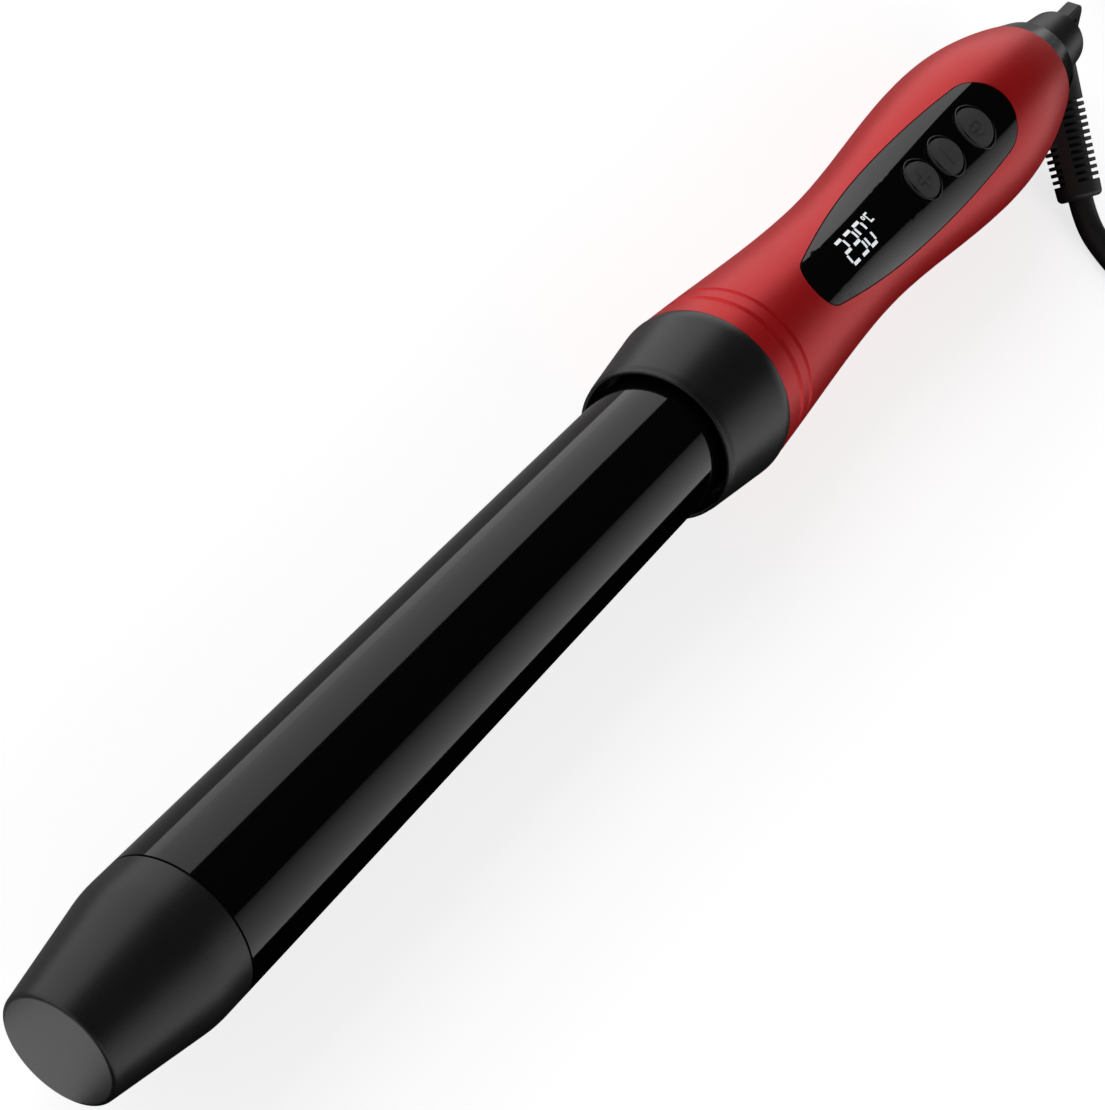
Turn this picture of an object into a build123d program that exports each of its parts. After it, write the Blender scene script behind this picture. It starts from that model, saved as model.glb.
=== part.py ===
from build123d import *
import os
from math import cos, pi, radians, sin, sqrt, tan

# Curling wand: a heated barrel with a cool tip, a waisted handle with a control
# panel, and a swivelling cord head with a hang loop. All sizes are in millimetres.
# Every piece is drawn with the wand's axis on X, the tip at x = 0 and the panel
# facing +Z. At the end each one is moved so that the origin is under the wand's
# middle, on the surface that it lies on.

# ---- Driving dimensions ----------------------------------------------------

# Lengths along the axis, from the tip
cap_length = 31.0
seam_width = 0.5
barrel_show = 169.1
collar_length = 23.9
handle_length = 182.5
ring_length = 11.0
head_gap = 0.35
head_length = 21.7
loop_reach = 13.0

# Tip cap
cap_face_radius = 11.65
cap_edge = 0.9
cap_cone_length = 22.6
cap_cone_radius = 15.8
cap_blend = 26.0
cap_wall = 2.6
cap_spigot = 10.0
cap_spigot_radius = 12.4

# Barrel and what it holds
barrel_radius = 16.0
barrel_wall = 1.2
barrel_hidden = 38.0
heater_start = 24.0
heater_length = 130.0
plate_count = 4
plate_inset = 2.0
plate_length = 24.0
plate_width = 12.0
plate_thickness = 2.1
electrode_thickness = 0.4
film_thickness = 0.15
sensor_radius = 1.2
sensor_proud = 1.0
sensor_length = 20.0
fuse_radius = 2.0
fuse_length = 12.0
core_bore_height = 8.0

# Seat that carries the barrel, and the collar round it
seat_wall = 1.95
seat_setback = 9.0
seat_lap = 5.5
seat_tail = 14.0
seat_tail_wall = 1.15
collar_front_radius = 18.9
collar_lip_radius = 18.25
collar_lip_bore = 17.6
collar_lip_length = 2.0
collar_rear_radius = 21.35
collar_roll = 0.8
collar_lip_swell = 0.25
collar_blend = 1.0
collar_heel_step = 0.05
collar_land = 2.2

# Handle: radii at its front, waist, belly and rear; the waist lies behind the front and
# the belly before the rear by these lengths
handle_front_radius = 21.18
waist_radius = 17.09
belly_radius = 21.84
handle_rear_radius = 16.43
waist_place = 70.0
belly_inset = 38.0
front_slope = -0.058
rear_slope = -0.264
handle_wall = 2.6
wall_lap = 0.3
land_rise = 0.15
groove_places = (7.0, 12.3)
groove_widths = (2.4, 1.8)
groove_depth = 0.45

# Control panel: its distances from the handle's front and rear
panel_start = 30.6
panel_inset = 42.5
panel_half_width = 12.0
panel_nose_radius = 6.6
panel_tail_radius = 10.8
panel_thickness = 1.4
panel_gap = 0.25
panel_ledge = 1.6
panel_margin = 3.0

# Buttons, as distances from the panel's rear end
plus_inset = 46.9
minus_inset = 34.2
power_inset = 18.1
small_cap_radius = 5.15
power_cap_radius = 5.7
cap_clearance = 0.3
hole_bevel = 0.4
cap_rise = 0.35
flange_margin = 0.9
flange_thickness = 0.8
flange_gap = 0.15
button_travel = 0.6
glyph_size = 4.9
glyph_stroke = 1.0
glyph_gap_share = 2.4
glyph_stick_inset = 0.35
glyph_rise = 0.25

# Readout: its distance from the panel's front end and its shift to one side
readout_inset = 19.0
readout_offset = 0.7
digit_height = 7.3
digit_width = 4.3
digit_pitch = 5.1
segment_width = 0.85
segment_gap = 0.14
segment_depth = 0.3
unit_height = 2.8
unit_gap = 0.3
unit_ring_radius = 0.62
unit_ring_bore = 0.25
unit_letter_start = 1.6
unit_letter_width = 1.74
unit_stroke = 0.47

# Circuit board, set against the panel's two ends, and what stands on it
board_front_inset = 2.9
board_rear_excess = 3.5
board_half_width = 10.5
board_height = 6.4
board_thickness = 1.6
post_radius = 2.2
post_spread = 6.0
post_inset = 7.0
switch_size = 6.0
switch_height = 5.0
switch_body_share = 0.7
plunger_radius = 1.7
display_length = 24.0
display_half_width = 5.3
display_height = 5.2

# Parts under the board: where each starts as a share of the board's length, then its
# length, half width and height
chip_size = (0.182, 10.0, 5.0, 1.6)
capacitor_size = (0.364, 15.0, 4.0, 12.0)
triac_size = (0.564, 10.0, 2.3, 15.0)
buzzer_share = 0.755
buzzer_radius = 4.8
buzzer_height = 7.0

# Wires
lead_radius = 0.7
lead_bend = 4.0
supply_bend = 3.0
lead_gap = 0.05
lead_spread = 3.0
lead_lap = 6.0
lead_run = 4.0
lead_rise = 12.0
lead_drop = 2.5
supply_lap = 3.0
supply_landing = 9.0
supply_end = 16.0
lead_end = 20.0
supply_spread = 2.0

# Screws
screw_radius = 1.05
screw_head_radius = 2.4
screw_head_height = 1.5
boss_radius = 3.0
boss_spread = 9.0
boss_wall = 1.0
front_boss_place = 26.5
rear_boss_inset = 27.0
screw_depth = 9.0
screw_bite = 8.0
screw_head_gap = 0.3
screw_hole_gap = 0.15

# Rear ring, swivel bearing and slip rings
ring_front_radius = 16.35
ring_rear_radius = 13.5
ring_edge = 1.0
ring_spigot = 6.0
bearing_radius = 9.5
bearing_flange = 2.0
bearing_flange_radius = 11.5
spindle_radius = 5.0
spindle_bore = 2.5
spindle_length = 34.0
spindle_clearance = 0.05
slip_ring_wall = 1.0
slip_ring_width = 4.0
slip_ring_pitch = 6.5
clip_radius = 8.0
clip_thickness = 0.9
clip_groove = 0.8
clip_gap = 0.3
brush_gap = 0.06
brush_lead = 0.5
brush_tail = 1.5
slip_ring_inset = 1.5
bearing_reach = 3.0
bearing_recess = 0.4
brush_height = 3.0
brush_half_width = 2.0
brush_block_half = 3.0
brush_block_height = 4.0

# Swivel head and hang loop
head_front_radius = 10.8
head_rear_radius = 8.55
head_edge = 2.0
head_front_edge = 0.5
loop_width = 14.0
loop_thickness = 4.2
loop_corner = 3.6
loop_rim = 2.8
loop_hole_radius = 3.6
loop_root = 3.0
loop_edge = 0.5
loop_turn = 57.0

# Cord boot: its axis leaves the wand's axis inside the head
boot_place = 13.06
boot_length = 43.3
boot_lean = 18.4
boot_dip = 22.3
boot_root_radius = 5.0
boot_root_start = 1.5
boot_root_end = 14.0
boot_hidden = 2.0
boot_root_edge = 0.3
boot_base_radius = 7.35
boot_end_radius = 6.35
boot_edge = 1.5
rib_start = 15.6
rib_pitch = 2.0
rib_count = 12
rib_gap = 1.0
rib_depth = 1.8
spine_width = 3.4
spine_turn = 14.0

# Cord over the surface: each run's heading in plan, in degrees from +X, its length, and
# the share of the small rise up to the coil that it has made by its end
cord_radius = 3.5
cord_lift = 0.05
exit_run = 7.6
free_headings = (-105, -90, -75, -60, -45, -30, -15, -3, 4, 0, 0)
free_runs = (10.0, 10.0, 10.0, 10.0, 10.0, 10.0, 10.5, 18.0, 24.0, 25.0, 25.0)
free_rises = (0, 0, 0, 0, 0, 0, 0, 0.1, 0.4, 0.9, 1)

# Coil, and the cord that climbs over it to the plug with the share of its rise
coil_outer_radius = 48.2
coil_turns_in = 7
coil_turns_out = 6
coil_gap = 0.6
tail_headings = (90, 105, 120, 135, 150, 165, 180, 195, 210, 225, 240, 255)
tail_runs = (10.0,) * 11 + (8.0,)
tail_rises = (0, 0.02, 0.11, 0.28, 0.48, 0.66, 0.76, 0.82, 0.88, 0.94, 1, 1)
tie_width = 12.0
tie_thickness = 0.8
tie_clearance = 0.1

# Mains plug
plug_length = 38.0
plug_width = 35.3
plug_thickness = 13.7
plug_shoulder = 9.0
plug_neck_width = 13.0
plug_relief = 15.0
plug_relief_wall = 1.3
plug_edge = 2.5
plug_flat_edge = 2.0
plug_waist_share = 0.45
plug_waist_swell = 2.5
plug_lap = 4.0
plug_relief_step = 0.4
plug_lift = 0.15
pin_radius = 2.0
pin_length = 19.0
pin_spacing = 19.0
pin_sleeve = 10.0
pin_sleeve_radius = 1.8
pin_root = 6.0
pin_core = 1.3
pin_nose = 1.0

# Clearances between fitted pieces
slide_fit = 0.05

# ---- Stations along the axis -----------------------------------------------

seam_start = cap_length
barrel_start = seam_start + seam_width
collar_start = barrel_start + barrel_show
handle_start = collar_start + collar_length
ring_start = handle_start + handle_length
head_start = ring_start + ring_length + head_gap
head_end = head_start + head_length
wand_length = head_end + loop_reach
barrel_end = collar_start + barrel_hidden
barrel_bore = barrel_radius - barrel_wall
axis_height = max(belly_radius, collar_rear_radius)
to_floor = Pos(-wand_length / 2, 0, axis_height)

seat_radius = barrel_radius + seat_wall
seat_bore = barrel_radius + slide_fit
seat_start = collar_start + seat_setback
seat_step = handle_start + seat_lap
seat_end = seat_step + seat_tail

panel_front = handle_start + panel_start
panel_rear = ring_start - panel_inset
readout_front = panel_front + readout_inset
board_front = panel_front + board_front_inset
board_rear = panel_rear + board_rear_excess
board_top = board_height + board_thickness
post_places = (board_front + post_inset, board_rear - post_inset)
boss_places = (handle_start + front_boss_place, ring_start - rear_boss_inset)
land_radius = handle_rear_radius - handle_wall - land_rise
spigot_start = ring_start - ring_spigot

bearing_start = ring_start - bearing_reach
bearing_end = ring_start + ring_length - bearing_recess
clip_end = bearing_start - bearing_flange - clip_gap
spindle_start = head_start - spindle_length
slip_front = spindle_start + slip_ring_inset
slip_rear = slip_front + slip_ring_pitch
slip_radius = spindle_radius + slip_ring_wall
brush_top = -slip_radius - brush_gap
brush_front = spindle_start - brush_lead
brush_rear = slip_rear + slip_ring_width + brush_tail
brush_block_high = brush_top - brush_height
brush_block_low = brush_block_high - brush_block_height

nodes = {}


def keep(name, shape):
    """Files a finished piece under its node name, moved to where it lies."""
    nodes[name] = to_floor * shape


# ---- Helpers ----------------------------------------------------------------


def turned(outline, arc=360.0):
    """Turns a closed outline of (x, radius) points round the X axis."""
    return revolve(make_face(Polyline(*outline, close=True)), Axis.X, arc)


def tube(start, end, outer, inner):
    return turned([(start, inner), (end, inner), (end, outer), (start, outer)])


def rod(start, end, radius):
    return turned([(start, 0), (end, 0), (end, radius), (start, radius)])


def block(x0, x1, y0, y1, z0, z1):
    centre = Pos((x0 + x1) / 2, (y0 + y1) / 2, (z0 + z1) / 2)
    return centre * Box(x1 - x0, y1 - y0, z1 - z0)


def post(x, y, z0, z1, radius):
    return Pos(x, y, (z0 + z1) / 2) * Cylinder(radius, z1 - z0)


def wire(points, radius, bend):
    """A round wire along straight runs joined by tangent arcs."""
    path = FilletPolyline(*points, radius=bend)
    section = Plane(origin=path @ 0, z_dir=path % 0) * Circle(radius)
    return sweep(section, path=path)


def hermite(t, start, end, start_slope, end_slope):
    """A cubic between two radii; t runs from 0 to 1, slopes are per unit of t."""
    rise = start * (2 * t**3 - 3 * t**2 + 1) + end * (3 * t**2 - 2 * t**3)
    return rise + start_slope * (t**3 - 2 * t**2 + t) + end_slope * (t**3 - t**2)


def handle_radius(x):
    """The handle's outer radius at a station on the axis."""
    waist = handle_start + waist_place
    belly = ring_start - belly_inset
    if x <= waist:
        t = (x - handle_start) / waist_place
        return hermite(t, handle_front_radius, waist_radius, front_slope * waist_place, 0)
    if x <= belly:
        return hermite((x - waist) / (belly - waist), waist_radius, belly_radius, 0, 0)
    t = (x - belly) / belly_inset
    return hermite(t, belly_radius, handle_rear_radius, 0, rear_slope * belly_inset)


def handle_line(depth, start, end, points=14):
    """A smooth line that follows the handle's surface at a depth below it."""
    places = [start + (end - start) * i / (points - 1) for i in range(points)]
    return Spline(*[(x, handle_radius(x) - depth) for x in places])


def handle_layer(outer_depth, inner_depth, start, end, arc=180.0):
    """A layer of the handle's wall between two depths, as a half or a whole turn."""
    outer = handle_line(outer_depth, start, end)
    inner = handle_line(inner_depth, start, end)
    sides = [Line(outer @ 0, inner @ 0), Line(outer @ 1, inner @ 1)]
    return revolve(make_face([outer, inner] + sides), Axis.X, arc)


# ---- Tip --------------------------------------------------------------------


def tip_cap():
    """A cool tip: a cone with a flat face, hollow, with a spigot at its back."""
    slope = (cap_cone_radius - cap_face_radius) / cap_cone_length
    meet = (barrel_radius - cap_face_radius) / slope
    back = cap_length + cap_spigot
    skin = FilletPolyline(
        (0, 0),
        (0, cap_face_radius),
        (meet, barrel_radius),
        (cap_length, barrel_radius),
        radius=[cap_edge, cap_blend],
    )
    rear = Polyline(
        (cap_length, barrel_radius),
        (cap_length, cap_spigot_radius),
        (back, cap_spigot_radius),
        (back, 0),
        (0, 0),
    )
    hollow = turned([
        (cap_wall, 0),
        (cap_wall, cap_face_radius - cap_wall),
        (meet, barrel_radius - cap_wall),
        (cap_length - cap_wall, barrel_radius - cap_wall),
        (cap_length - cap_wall, cap_spigot_radius - cap_wall),
        (back, cap_spigot_radius - cap_wall),
        (back, 0),
    ])
    return revolve(make_face([skin, rear]), Axis.X) - hollow


def tip_insulator():
    """A heat-proof ring between the cap and the barrel, with a thin flange in the seam."""
    back = seam_start + cap_spigot
    bore = cap_spigot_radius + slide_fit
    return turned([
        (seam_start, bore),
        (seam_start, barrel_radius - seam_width),
        (barrel_start, barrel_radius - seam_width),
        (barrel_start, barrel_bore - slide_fit),
        (back, barrel_bore - slide_fit),
        (back, bore),
    ])


# ---- Heater -----------------------------------------------------------------

core_start = barrel_start + heater_start
core_end = core_start + heater_length
core_radius = barrel_bore - slide_fit
stack_half = plate_thickness / 2 + electrode_thickness + film_thickness
electrode_end = core_end + 12.0


def heat_spreader(side):
    """One half of the aluminium core; side is +1 above the plates and -1 below."""
    core = rod(core_start, core_end, core_radius)
    keep_side = block(core_start, core_end, -core_radius, core_radius, stack_half, core_radius)
    half = core & keep_side
    reach = sensor_length if side > 0 else fuse_length
    bore = (sensor_radius if side > 0 else fuse_radius) + slide_fit
    half -= Pos(0, 0, core_bore_height) * rod(core_end - reach, core_end, bore)
    return half if side > 0 else Rot(180, 0, 0) * half


def heater_strip(side, depth, thickness, end):
    """A strip of the plate stack: an electrode or a film, above or below the plates."""
    low, high = sorted((side * depth, side * (depth + thickness)))
    return block(core_start + 2, end, -plate_width / 2, plate_width / 2, low, high)


def build_heater():
    for name, side in (("upper", 1), ("lower", -1)):
        keep("heat_spreader_" + name, heat_spreader(side))
        depth = plate_thickness / 2
        keep("electrode_" + name, heater_strip(side, depth, electrode_thickness, electrode_end))
        depth += electrode_thickness
        keep("insulating_film_" + name, heater_strip(side, depth, film_thickness, core_end))
    spare = heater_length - 2 * plate_inset - plate_count * plate_length
    pitch = plate_length + spare / (plate_count - 1) if plate_count > 1 else plate_length
    for i in range(plate_count):
        x = core_start + plate_inset + i * pitch
        half = plate_width / 2
        depth = plate_thickness / 2
        plate = block(x, x + plate_length, -half, half, -depth, depth)
        keep(f"heating_plate_{i + 1}", plate)
    sensor = rod(core_end - sensor_length, core_end + sensor_proud, sensor_radius)
    keep("temperature_sensor", Pos(0, 0, core_bore_height) * sensor)
    fuse = rod(core_end - fuse_length, core_end + sensor_proud, fuse_radius)
    keep("thermal_fuse", Pos(0, 0, -core_bore_height) * fuse)


# ---- Seat and collar ---------------------------------------------------------


def barrel_seat():
    """A heat-proof bush that carries the barrel inside the collar and the handle."""
    tail = seat_bore + seat_tail_wall
    return turned([
        (seat_start, seat_bore),
        (seat_start, seat_radius),
        (seat_step, seat_radius),
        (seat_step, tail),
        (seat_end, tail),
        (seat_end, seat_bore),
    ])


def collar():
    """The guard ring in front of the handle: a rolled lip, a cone and a rounded heel."""
    cone_start = collar_start + collar_lip_length
    heel = handle_start - collar_land
    bore = seat_radius + slide_fit
    lip = ThreePointArc(
        (collar_start + collar_roll, collar_lip_bore),
        (collar_start, (collar_lip_bore + collar_lip_radius) / 2),
        (collar_start + collar_roll, collar_lip_radius + collar_lip_swell),
    )
    cone = Line((cone_start, collar_front_radius), (heel - collar_blend, collar_rear_radius))
    shoulder = TangentArc(cone @ 1, (handle_start, handle_front_radius - collar_heel_step), tangent=cone % 1)
    inside = Polyline(
        (handle_start, handle_front_radius - collar_heel_step),
        (handle_start, bore),
        (seat_start, bore),
        (seat_start, collar_lip_bore),
        (collar_start + collar_roll, collar_lip_bore),
    )
    lip_top = Line(lip @ 1, cone @ 0)
    return revolve(make_face([lip, lip_top, cone, shoulder, inside]), Axis.X)


# ---- Handle shells ------------------------------------------------------------


def half_shell():
    """Half of the handle's skin, with a land at each end and the two grip grooves."""
    shell = handle_layer(0, handle_wall, handle_start, ring_start)
    front = turned(
        [
            (handle_start, seat_radius + slide_fit),
            (handle_start, handle_front_radius - handle_wall + wall_lap),
            (seat_step, handle_radius(seat_step) - handle_wall + wall_lap),
            (seat_step, seat_radius + slide_fit),
        ],
        180,
    )
    rear = turned(
        [
            (spigot_start, land_radius),
            (spigot_start, handle_radius(spigot_start) - handle_wall + wall_lap),
            (ring_start, handle_rear_radius - handle_wall + wall_lap),
            (ring_start, land_radius),
        ],
        180,
    )
    shell = shell + front + rear
    for place, width in zip(groove_places, groove_widths):
        x = handle_start + place
        round_radius = (width**2 / 4 + groove_depth**2) / (2 * groove_depth)
        centre = handle_radius(x) - groove_depth + round_radius
        groove = revolve(Pos(x, centre) * Circle(round_radius), Axis.X, 360)
        shell -= groove
    return shell


def panel_outline(inset):
    """The egg-shaped plan of the panel, drawn in by an inset; three tangent arcs a side."""
    nose = panel_nose_radius - inset
    tail = panel_tail_radius - inset
    half = panel_half_width - inset
    front = panel_front + panel_nose_radius
    back = panel_rear - panel_tail_radius

    def reach(end, flank):
        """How far an end arc's centre lies from the widest place, for a flank radius."""
        return sqrt((half - end) * (2 * flank - half - end))

    low, high = half + 1.0, 5000.0
    while high - low > 1e-7:
        flank = (low + high) / 2
        short = reach(nose, flank) + reach(tail, flank) < back - front
        low, high = (flank, high) if short else (low, flank)
    sink = flank - half
    widest = front + reach(nose, flank)

    def touch(x, radius):
        """Where the flank arc meets an end arc centred on the axis line at x."""
        length = flank - radius
        return (x + (x - widest) / length * radius, sink / length * radius)

    nose_touch = touch(front, nose)
    tail_touch = touch(back, tail)
    nose_other = (nose_touch[0], -nose_touch[1])
    tail_other = (tail_touch[0], -tail_touch[1])
    return make_face([
        ThreePointArc(nose_other, (front - nose, 0), nose_touch),
        ThreePointArc(nose_touch, (widest, half), tail_touch),
        ThreePointArc(tail_touch, (back + tail, 0), tail_other),
        ThreePointArc(tail_other, (widest, -half), nose_other),
    ])


def panel_prism(inset):
    return extrude(Pos(0, 0, 1) * panel_outline(inset), belly_radius + 5)


def handle_top_shell():
    """The upper half, with the panel's recess, its window and four screw bosses."""
    shell = half_shell()
    start = panel_front - panel_margin
    end = panel_rear + panel_margin
    recess = handle_layer(-1.0, panel_thickness, start, end) & panel_prism(-panel_gap)
    shell = shell - recess - panel_prism(panel_ledge)
    for x in boss_places:
        for side in (1, -1):
            boss = post(x, side * boss_spread, 0, belly_radius, boss_radius)
            shell += boss & handle_inside(x)
            shell -= post(x, side * boss_spread, -1, screw_bite + 1, screw_radius + slide_fit)
    return shell


def handle_inside(x):
    """A slice of the space inside the handle's skin, for trimming bosses and posts."""
    reach = boss_radius + boss_wall
    places = [x - reach, x, x + reach]
    rim = [(p, handle_radius(p) - handle_wall + wall_lap) for p in places]
    return turned([(x - reach, 0)] + rim + [(x + reach, 0)])


def handle_bottom_shell():
    """The lower half, with screw wells, board posts and a cradle for the brushes."""
    shell = Rot(180, 0, 0) * half_shell()
    for x in boss_places:
        for side in (1, -1):
            y = side * boss_spread
            shell += post(x, y, -belly_radius, 0, boss_radius + boss_wall) & handle_inside(x)
            shell -= post(x, y, -belly_radius - 1, -screw_depth, screw_head_radius + screw_head_gap)
            shell -= post(x, y, -belly_radius, 1, screw_radius + slide_fit)
    for x in post_places:
        for side in (1, -1):
            y = side * post_spread
            shell += post(x, y, -belly_radius, board_height, post_radius) & handle_inside(x)
            shell -= post(x, y, board_height - screw_bite, board_height + 1, screw_radius + slide_fit)
    half = brush_block_half
    cradle = block(brush_front - 1, brush_rear + 1, -half, half, -belly_radius, brush_block_low)
    return shell + (cradle & handle_inside((brush_front + brush_rear) / 2))


def screw(x, y, seat, reach, up=1):
    """A pan-head screw whose head sits at a height; up is +1 if its shank points up."""
    shank = sorted((seat, seat + up * reach))
    head = sorted((seat, seat - up * screw_head_height))
    return post(x, y, *shank, screw_radius) + post(x, y, *head, screw_head_radius)


def handle_screws():
    reach = screw_depth + screw_bite
    spots = [(x, side * boss_spread) for x in boss_places for side in (1, -1)]
    return Compound([screw(x, y, -screw_depth, reach) for x, y in spots])


def board_screws():
    spots = [(x, side * post_spread) for x in post_places for side in (1, -1)]
    return Compound([screw(x, y, board_top, screw_bite, up=-1) for x, y in spots])


# ---- Control panel and readout -------------------------------------------------


def digit_segments(digit, x, y):
    """The lit bars of one seven-segment digit, as (x0, x1, y0, y1) boxes in plan."""
    w, h, s, g = digit_width, digit_height, segment_width, segment_gap
    mid = h / 2
    bars = {
        "a": (g + s / 2, w - g - s / 2, h - s, h),
        "g": (g + s / 2, w - g - s / 2, mid - s / 2, mid + s / 2),
        "d": (g + s / 2, w - g - s / 2, 0, s),
        "f": (0, s, mid + g + s / 2, h - s - g),
        "b": (w - s, w, mid + g + s / 2, h - s - g),
        "e": (0, s, s + g, mid - s / 2 - g),
        "c": (w - s, w, s + g, mid - s / 2 - g),
    }
    lit = {"0": "abcdef", "2": "abged", "3": "abgcd"}[digit]
    return [(x + bars[k][0], x + bars[k][1], y + bars[k][2], y + bars[k][3]) for k in lit]


def readout_bars():
    """The plan boxes of a plain temperature reading and its unit."""
    y = readout_offset - digit_height / 2
    bars = []
    for i, digit in enumerate("230"):
        bars += digit_segments(digit, readout_front + i * digit_pitch, y)
    return bars


def unit_marks():
    """The degree ring and the C beside the digits, level with their tops."""
    x = readout_front + 3 * digit_pitch + unit_gap
    top = readout_offset + digit_height / 2
    ring = Circle(unit_ring_radius) - Circle(unit_ring_bore)
    place = Pos(x + unit_letter_start + unit_letter_width / 2, top - unit_height / 2)
    letter = Rectangle(unit_letter_width, unit_height)
    hollow = Rectangle(unit_letter_width, unit_height - 2 * unit_stroke)
    letter = letter - Pos(unit_stroke, 0) * hollow
    return [Pos(x + unit_ring_radius, top - unit_ring_radius) * ring, place * letter]


def readout_prisms():
    reach = belly_radius
    prisms = [block(x0, x1, y0, y1, 5, reach) for x0, x1, y0, y1 in readout_bars()]
    prisms += [extrude(Pos(0, 0, 5) * mark, reach) for mark in unit_marks()]
    return prisms


button_specs = {
    "plus": (panel_rear - plus_inset, small_cap_radius),
    "minus": (panel_rear - minus_inset, small_cap_radius),
    "power": (panel_rear - power_inset, power_cap_radius),
}
cap_reach = power_cap_radius + 3.3


def panel_hole(x, radius):
    """A button hole with a bevelled rim that follows the panel's surface."""
    hole = post(x, 0, 5, belly_radius + 2, radius + cap_clearance)
    rim = post(x, 0, 5, belly_radius + 2, radius + cap_clearance + hole_bevel)
    return hole + (rim & handle_layer(-1.0, hole_bevel, x - cap_reach, x + cap_reach))


def build_panel():
    start = panel_front - panel_margin
    end = panel_rear + panel_margin
    panel = handle_layer(0, panel_thickness, start, end) & panel_prism(0)
    for x, radius in button_specs.values():
        panel -= panel_hole(x, radius)
    readout_rear = readout_front + display_length
    pocket_layer = handle_layer(-0.02, segment_depth, readout_front - 2, readout_rear)
    marks = [prism & pocket_layer for prism in readout_prisms()]
    for mark in marks:
        panel -= mark
    keep("control_panel", panel)
    keep("readout_segments", Compound([s for mark in marks for s in mark.solids()]))


# ---- Buttons and switches --------------------------------------------------------


def panel_underside(x, y):
    depth = handle_radius(x) - panel_thickness
    return sqrt(depth**2 - y**2)


def flange_top(x, radius):
    """The lowest point of the panel's underside over a button's flange, less a gap."""
    rim = [(x + radius * cos(radians(a)), radius * sin(radians(a))) for a in range(0, 360, 15)]
    return min(panel_underside(px, py) for px, py in rim) - flange_gap


def glyph(name):
    """The raised mark on a button, in plan, centred on the button."""
    bar = Rectangle(glyph_stroke, glyph_size)
    if name == "minus":
        return bar
    if name == "plus":
        return bar + Rectangle(glyph_size, glyph_stroke)
    ring = Circle(glyph_size / 2) - Circle(glyph_size / 2 - glyph_stroke)
    gap = Pos(-glyph_size / 2, 0) * Rectangle(glyph_size, glyph_stroke * glyph_gap_share)
    stick = Pos(-glyph_size / 2 + glyph_stick_inset, 0) * Rectangle(glyph_size / 2, glyph_stroke)
    return (ring - gap) + stick


def button(name, x, radius):
    """A cap that follows the handle's surface, with a flange and a stem below it."""
    flange_radius = radius + flange_margin
    top = flange_top(x, flange_radius)
    layer = handle_layer(-cap_rise, belly_radius / 2, x - cap_reach, x + cap_reach)
    cap = post(x, 0, top - 0.01, belly_radius + 3, radius) & layer
    raised = handle_layer(-cap_rise - glyph_rise, 1.0, x - cap_reach, x + cap_reach)
    mark = extrude(Pos(x, 0, 5) * glyph(name), belly_radius) & raised
    flange = post(x, 0, top - flange_thickness, top, flange_radius)
    stem_low = board_top + switch_height + button_travel + slide_fit
    stem = post(x, 0, stem_low, top, plunger_radius)
    return cap + mark + flange + stem


def switch(x):
    """A tactile switch on the board under a button."""
    half = switch_size / 2
    body_top = board_top + switch_height * switch_body_share
    body = block(x - half, x + half, -half, half, board_top, body_top)
    return body + post(x, 0, body_top, board_top + switch_height, plunger_radius)


def build_buttons():
    for name, (x, radius) in button_specs.items():
        keep("button_" + name, button(name, x, radius))
        keep("switch_" + name, switch(x))


# ---- Electronics -------------------------------------------------------------------


def circuit_board():
    board = block(board_front, board_rear, -board_half_width, board_half_width, board_height, board_top)
    for x in post_places:
        for side in (1, -1):
            board -= post(x, side * post_spread, board_height - 1, board_top + 1, screw_radius + screw_hole_gap)
    return board


def under_board(share, length, half_width, height):
    """A block that hangs under the board, starting at a share of the board's length."""
    x = board_front + share * (board_rear - board_front)
    return block(x, x + length, -half_width, half_width, board_height - height, board_height)


def build_electronics():
    keep("circuit_board", circuit_board())
    x = readout_front - 1
    half = display_half_width
    module = block(x, x + display_length, -half, half, board_top, board_top + display_height)
    keep("display_module", module)
    keep("control_chip", under_board(*chip_size))
    keep("filter_capacitor", under_board(*capacitor_size))
    keep("power_triac", under_board(*triac_size))
    x = board_front + buzzer_share * (board_rear - board_front)
    keep("buzzer", post(x, 0, board_height - buzzer_height, board_height, buzzer_radius))


def build_leads():
    """The wires from the heater to the board, and from the board to the brushes."""
    run = seat_end + lead_run
    under = board_height - lead_radius - lead_gap
    landing = [(board_front + lead_rise, under), (board_front + lead_end, under)]
    strip_top = plate_thickness / 2 + electrode_thickness
    for name, side in (("heater_lead_1", 1), ("heater_lead_2", -1)):
        y = side * lead_spread
        z = side * (strip_top + lead_radius + lead_gap)
        path = [(electrode_end - lead_lap, y, z), (run, y, z)]
        path += [(x, y, height) for x, height in landing]
        keep(name, wire(path, lead_radius, lead_bend))
    path = [(core_end + sensor_proud, 0, core_bore_height), (run, 0, core_bore_height - lead_drop)]
    path += [(x, 0, height) for x, height in landing]
    keep("sensor_lead", wire(path, lead_radius, lead_bend))
    low = brush_block_low + brush_block_height / 2
    for name, side, start in (("supply_lead_1", 1, brush_front), ("supply_lead_2", -1, brush_rear)):
        y = side * (brush_block_half + lead_radius + lead_gap)
        path = [
            (start + supply_lap, y, low),
            (brush_front - lead_lap, y, low),
            (board_rear - supply_landing, side * supply_spread, under),
            (board_rear - supply_end, side * supply_spread, under),
        ]
        keep(name, wire(path, lead_radius, supply_bend))


# ---- Rear ring, bearing and slip rings ------------------------------------------------


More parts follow.
